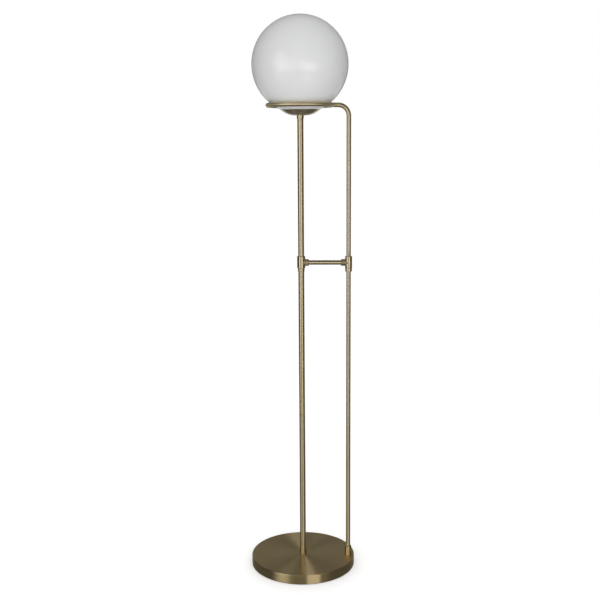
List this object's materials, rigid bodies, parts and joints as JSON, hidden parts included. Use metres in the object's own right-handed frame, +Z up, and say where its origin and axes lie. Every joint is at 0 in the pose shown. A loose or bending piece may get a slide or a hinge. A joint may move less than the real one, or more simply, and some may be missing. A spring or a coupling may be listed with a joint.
{
  "type": "globe floor lamp",
  "caption": "Floor lamp: opal globe on a shallow dish and centre post, with a side post that bends into a ring round the globe, on a round weighted foot.",
  "frame": {"origin": "on the floor under the centre of the foot", "axes": "+Z up along the centre post, +X towards the side post, +Y towards the back, where the lead leaves the foot"},
  "size_m": [0.285, 0.2875, 1.4871],
  "materials": {
    "brushed_brass": "brushed antique brass",
    "turned_brass": "turned antique brass",
    "pad_foam": "matt foam",
    "iron": "as cast",
    "black_plastic": "moulded",
    "lead_sheath": "smooth sheath",
    "zinc_steel": "zinc plated",
    "opal_glass": "glossy opal",
    "silicone": "matt",
    "holder_plastic": "moulded",
    "porcelain": "glazed",
    "contact_brass": "bright",
    "solder": "solder",
    "black_glass": "glossy",
    "nickel": "nickel plated",
    "white_plastic": "moulded",
    "board": "printed board",
    "opal_plastic": "frosted"
  },
  "bodies": {
    "root": {"foot_pad": "pad_foam", "foot_cover": "turned_brass", "foot_weight": "iron", "cord_bush": "black_plastic", "centre_ferrule": "brushed_brass", "side_ferrule": "brushed_brass", "foot_nipple": "zinc_steel", "foot_washer": "zinc_steel", "foot_nut": "zinc_steel", "side_bolt": "zinc_steel", "side_washer": "zinc_steel", "centre_post_lower": "brushed_brass", "centre_post_middle": "brushed_brass", "centre_post_upper": "brushed_brass", "side_post_lower": "brushed_brass", "side_post_middle": "brushed_brass", "arm": "brushed_brass", "halo_ring": "brushed_brass", "centre_inserts": "zinc_steel", "side_inserts": "zinc_steel", "joint_nipples": "zinc_steel", "joint_studs": "zinc_steel", "centre_tee": "brushed_brass", "side_tee": "brushed_brass", "centre_tee_collar": "brushed_brass", "side_tee_collar": "brushed_brass", "grub_screws": "zinc_steel", "crossbar": "brushed_brass", "dish_collar": "brushed_brass", "dish": "brushed_brass", "gallery_nipple": "zinc_steel", "gallery_washer": "zinc_steel", "gallery_nut": "zinc_steel", "holder_cap": "holder_plastic", "holder_skirt": "holder_plastic", "holder_core": "porcelain", "screw_shell": "contact_brass", "centre_contact": "contact_brass", "globe_seat": "silicone", "lead": "lead_sheath"},
    "globe": {"globe": "opal_glass"},
    "bulb_rising": {"bulb_tip": "solder", "bulb_insulator": "black_glass", "bulb_diffuser": "opal_plastic"},
    "bulb": {"bulb_cap": "nickel", "bulb_housing": "white_plastic", "light_board": "board"}
  },
  "joints": [
    {"name": "globe_lift", "type": "slide", "parent": "root", "child": "globe", "axis": [0, 0, 1], "range_m": [0, 0.18]},
    {"name": "bulb_rise", "type": "slide", "parent": "root", "child": "bulb_rising", "axis": [0, 0, 1], "range_m": [0, 0.01815]},
    {"name": "bulb_turn", "type": "hinge", "parent": "bulb_rising", "child": "bulb", "pos_m": [0, 0, 1.3], "axis": [0, 0, 1], "range_deg": [0, 1800]}
  ],
  "couplings": [
    {"joint": "bulb_rise", "follows": "bulb_turn", "m_per_rad": 0.00057757}
  ]
}
